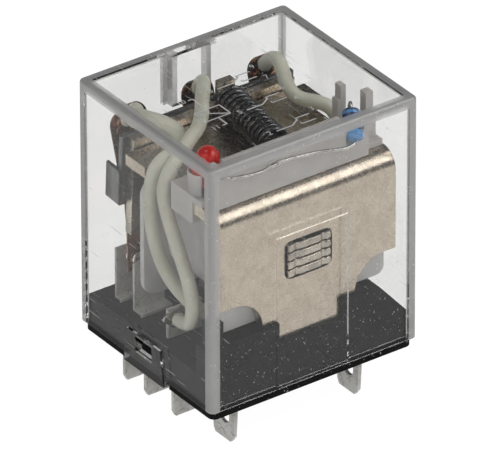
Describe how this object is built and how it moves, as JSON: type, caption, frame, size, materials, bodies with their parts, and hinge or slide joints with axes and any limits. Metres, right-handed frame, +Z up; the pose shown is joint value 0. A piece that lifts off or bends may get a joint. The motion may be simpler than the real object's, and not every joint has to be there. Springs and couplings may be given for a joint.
{
  "type": "plug-in power relay",
  "caption": "Plug-in changeover power relay with blade terminals, clear latched cover, hinged armature, coil, return spring and indicator lamp.",
  "frame": {"origin": "middle of the seating face, the underside of the base flange", "axes": "+Z up through the cover, the blades point to -Z; -Y is the side where the yoke plate faces out; +X to the right seen from there"},
  "size_m": [0.0318, 0.028, 0.0421],
  "materials": {
    "clear_cover": "clear polycarbonate, glossy, lightly scratched",
    "black_moulding": "black moulded plastic, semi-gloss",
    "plated_iron": "satin nickel plate with fine speckle",
    "bare_iron": "dull plated iron",
    "copper": "bare copper",
    "white_moulding": "white moulded nylon, slightly translucent",
    "enamelled_copper": "enamelled copper wire",
    "white_tape": "white polyester tape",
    "translucent_moulding": "translucent white moulded plastic",
    "red_lens": "diffused red epoxy",
    "tinned_wire": "tinned copper wire and solder",
    "resistor_coat": "blue enamel coat with bands",
    "black_steel": "blackened spring steel, oiled",
    "dark_moulding": "dark glossy moulded plastic",
    "silver_contact": "silver alloy",
    "bronze_strip": "phosphor bronze strip",
    "tinned_brass": "tin-plated brass, lightly stained",
    "cream_sleeve": "cream insulated flexible lead"
  },
  "bodies": {
    "root": {"base": "black_moulding", "bobbin": "white_moulding", "coil_tape": "white_tape", "coil_terminal_1": "tinned_brass", "coil_terminal_2": "tinned_brass", "coil_winding": "enamelled_copper", "coil_wires": "enamelled_copper", "com_terminal_1": "tinned_brass", "com_terminal_2": "tinned_brass", "com_terminal_3": "tinned_brass", "core_laminations": "bare_iron", "cover": "clear_cover", "fixed_contacts_nc": "silver_contact", "fixed_contacts_no": "silver_contact", "flex_lead_1": "cream_sleeve", "flex_lead_2": "cream_sleeve", "flex_lead_3": "cream_sleeve", "indicator_holder": "translucent_moulding", "led_leads": "tinned_wire", "led_lens": "red_lens", "link_wire": "tinned_wire", "nc_terminal_1": "tinned_brass", "nc_terminal_2": "tinned_brass", "nc_terminal_3": "tinned_brass", "no_terminal_1": "tinned_brass", "no_terminal_2": "tinned_brass", "no_terminal_3": "tinned_brass", "resistor_body": "resistor_coat", "resistor_leads": "tinned_wire", "return_spring": "black_steel", "shading_ring": "copper", "solder_joint": "tinned_wire", "yoke": "plated_iron"},
    "armature": {"armature": "bare_iron", "contact_carrier": "dark_moulding", "carrier_rivets": "bare_iron", "movable_spring_1": "bronze_strip", "movable_spring_2": "bronze_strip", "movable_spring_3": "bronze_strip", "moving_contacts": "silver_contact"}
  },
  "joints": [
    {"name": "armature_swing", "type": "hinge", "parent": "root", "child": "armature", "pos_m": [0, 0.00655, 0.0272], "axis": [-1, 0, 0], "range_deg": [0, 3.2], "stiffness_Nm_per_rad": 0.05, "springref_deg": -34.38, "deforming": ["return_spring"]}
  ]
}
